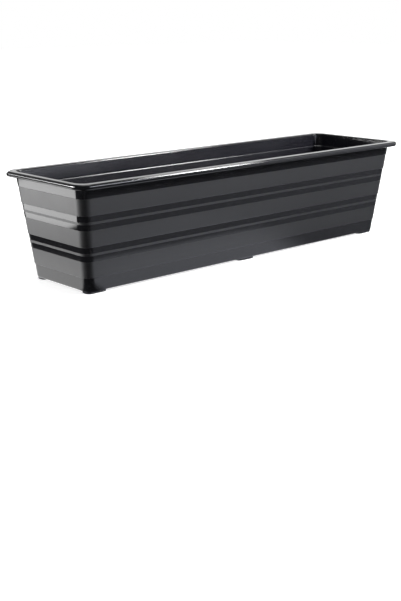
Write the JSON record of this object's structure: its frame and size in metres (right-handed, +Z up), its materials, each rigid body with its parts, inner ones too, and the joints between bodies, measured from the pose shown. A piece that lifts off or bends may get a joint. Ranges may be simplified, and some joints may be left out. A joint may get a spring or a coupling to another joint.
{
  "type": "window box planter",
  "caption": "Long tapered plastic window box with a hooked rim, stepped satin and gloss bands, low feet, an open soil cavity and floor drains closed by pull-out plugs.",
  "frame": {"origin": "ground level under the middle of the box, where its feet stand", "axes": "+X along the length, +Y from the front long side to the back long side, +Z up out of the open mouth"},
  "size_m": [0.6, 0.172, 0.141],
  "materials": {
    "tub_plastic": "satin",
    "plug_plastic": "matte"
  },
  "bodies": {
    "tub": {"tub": "tub_plastic"},
    "plug_1": {"drain_plug_1": "plug_plastic"},
    "plug_2": {"drain_plug_2": "plug_plastic"},
    "plug_3": {"drain_plug_3": "plug_plastic"},
    "plug_4": {"drain_plug_4": "plug_plastic"}
  },
  "joints": [
    {"name": "plug_1_pull", "type": "slide", "parent": "tub", "child": "plug_1", "axis": [0, 0, 1], "range_m": [0, 0.02]},
    {"name": "plug_2_pull", "type": "slide", "parent": "tub", "child": "plug_2", "axis": [0, 0, 1], "range_m": [0, 0.02]},
    {"name": "plug_3_pull", "type": "slide", "parent": "tub", "child": "plug_3", "axis": [0, 0, 1], "range_m": [0, 0.02]},
    {"name": "plug_4_pull", "type": "slide", "parent": "tub", "child": "plug_4", "axis": [0, 0, 1], "range_m": [0, 0.02]}
  ]
}
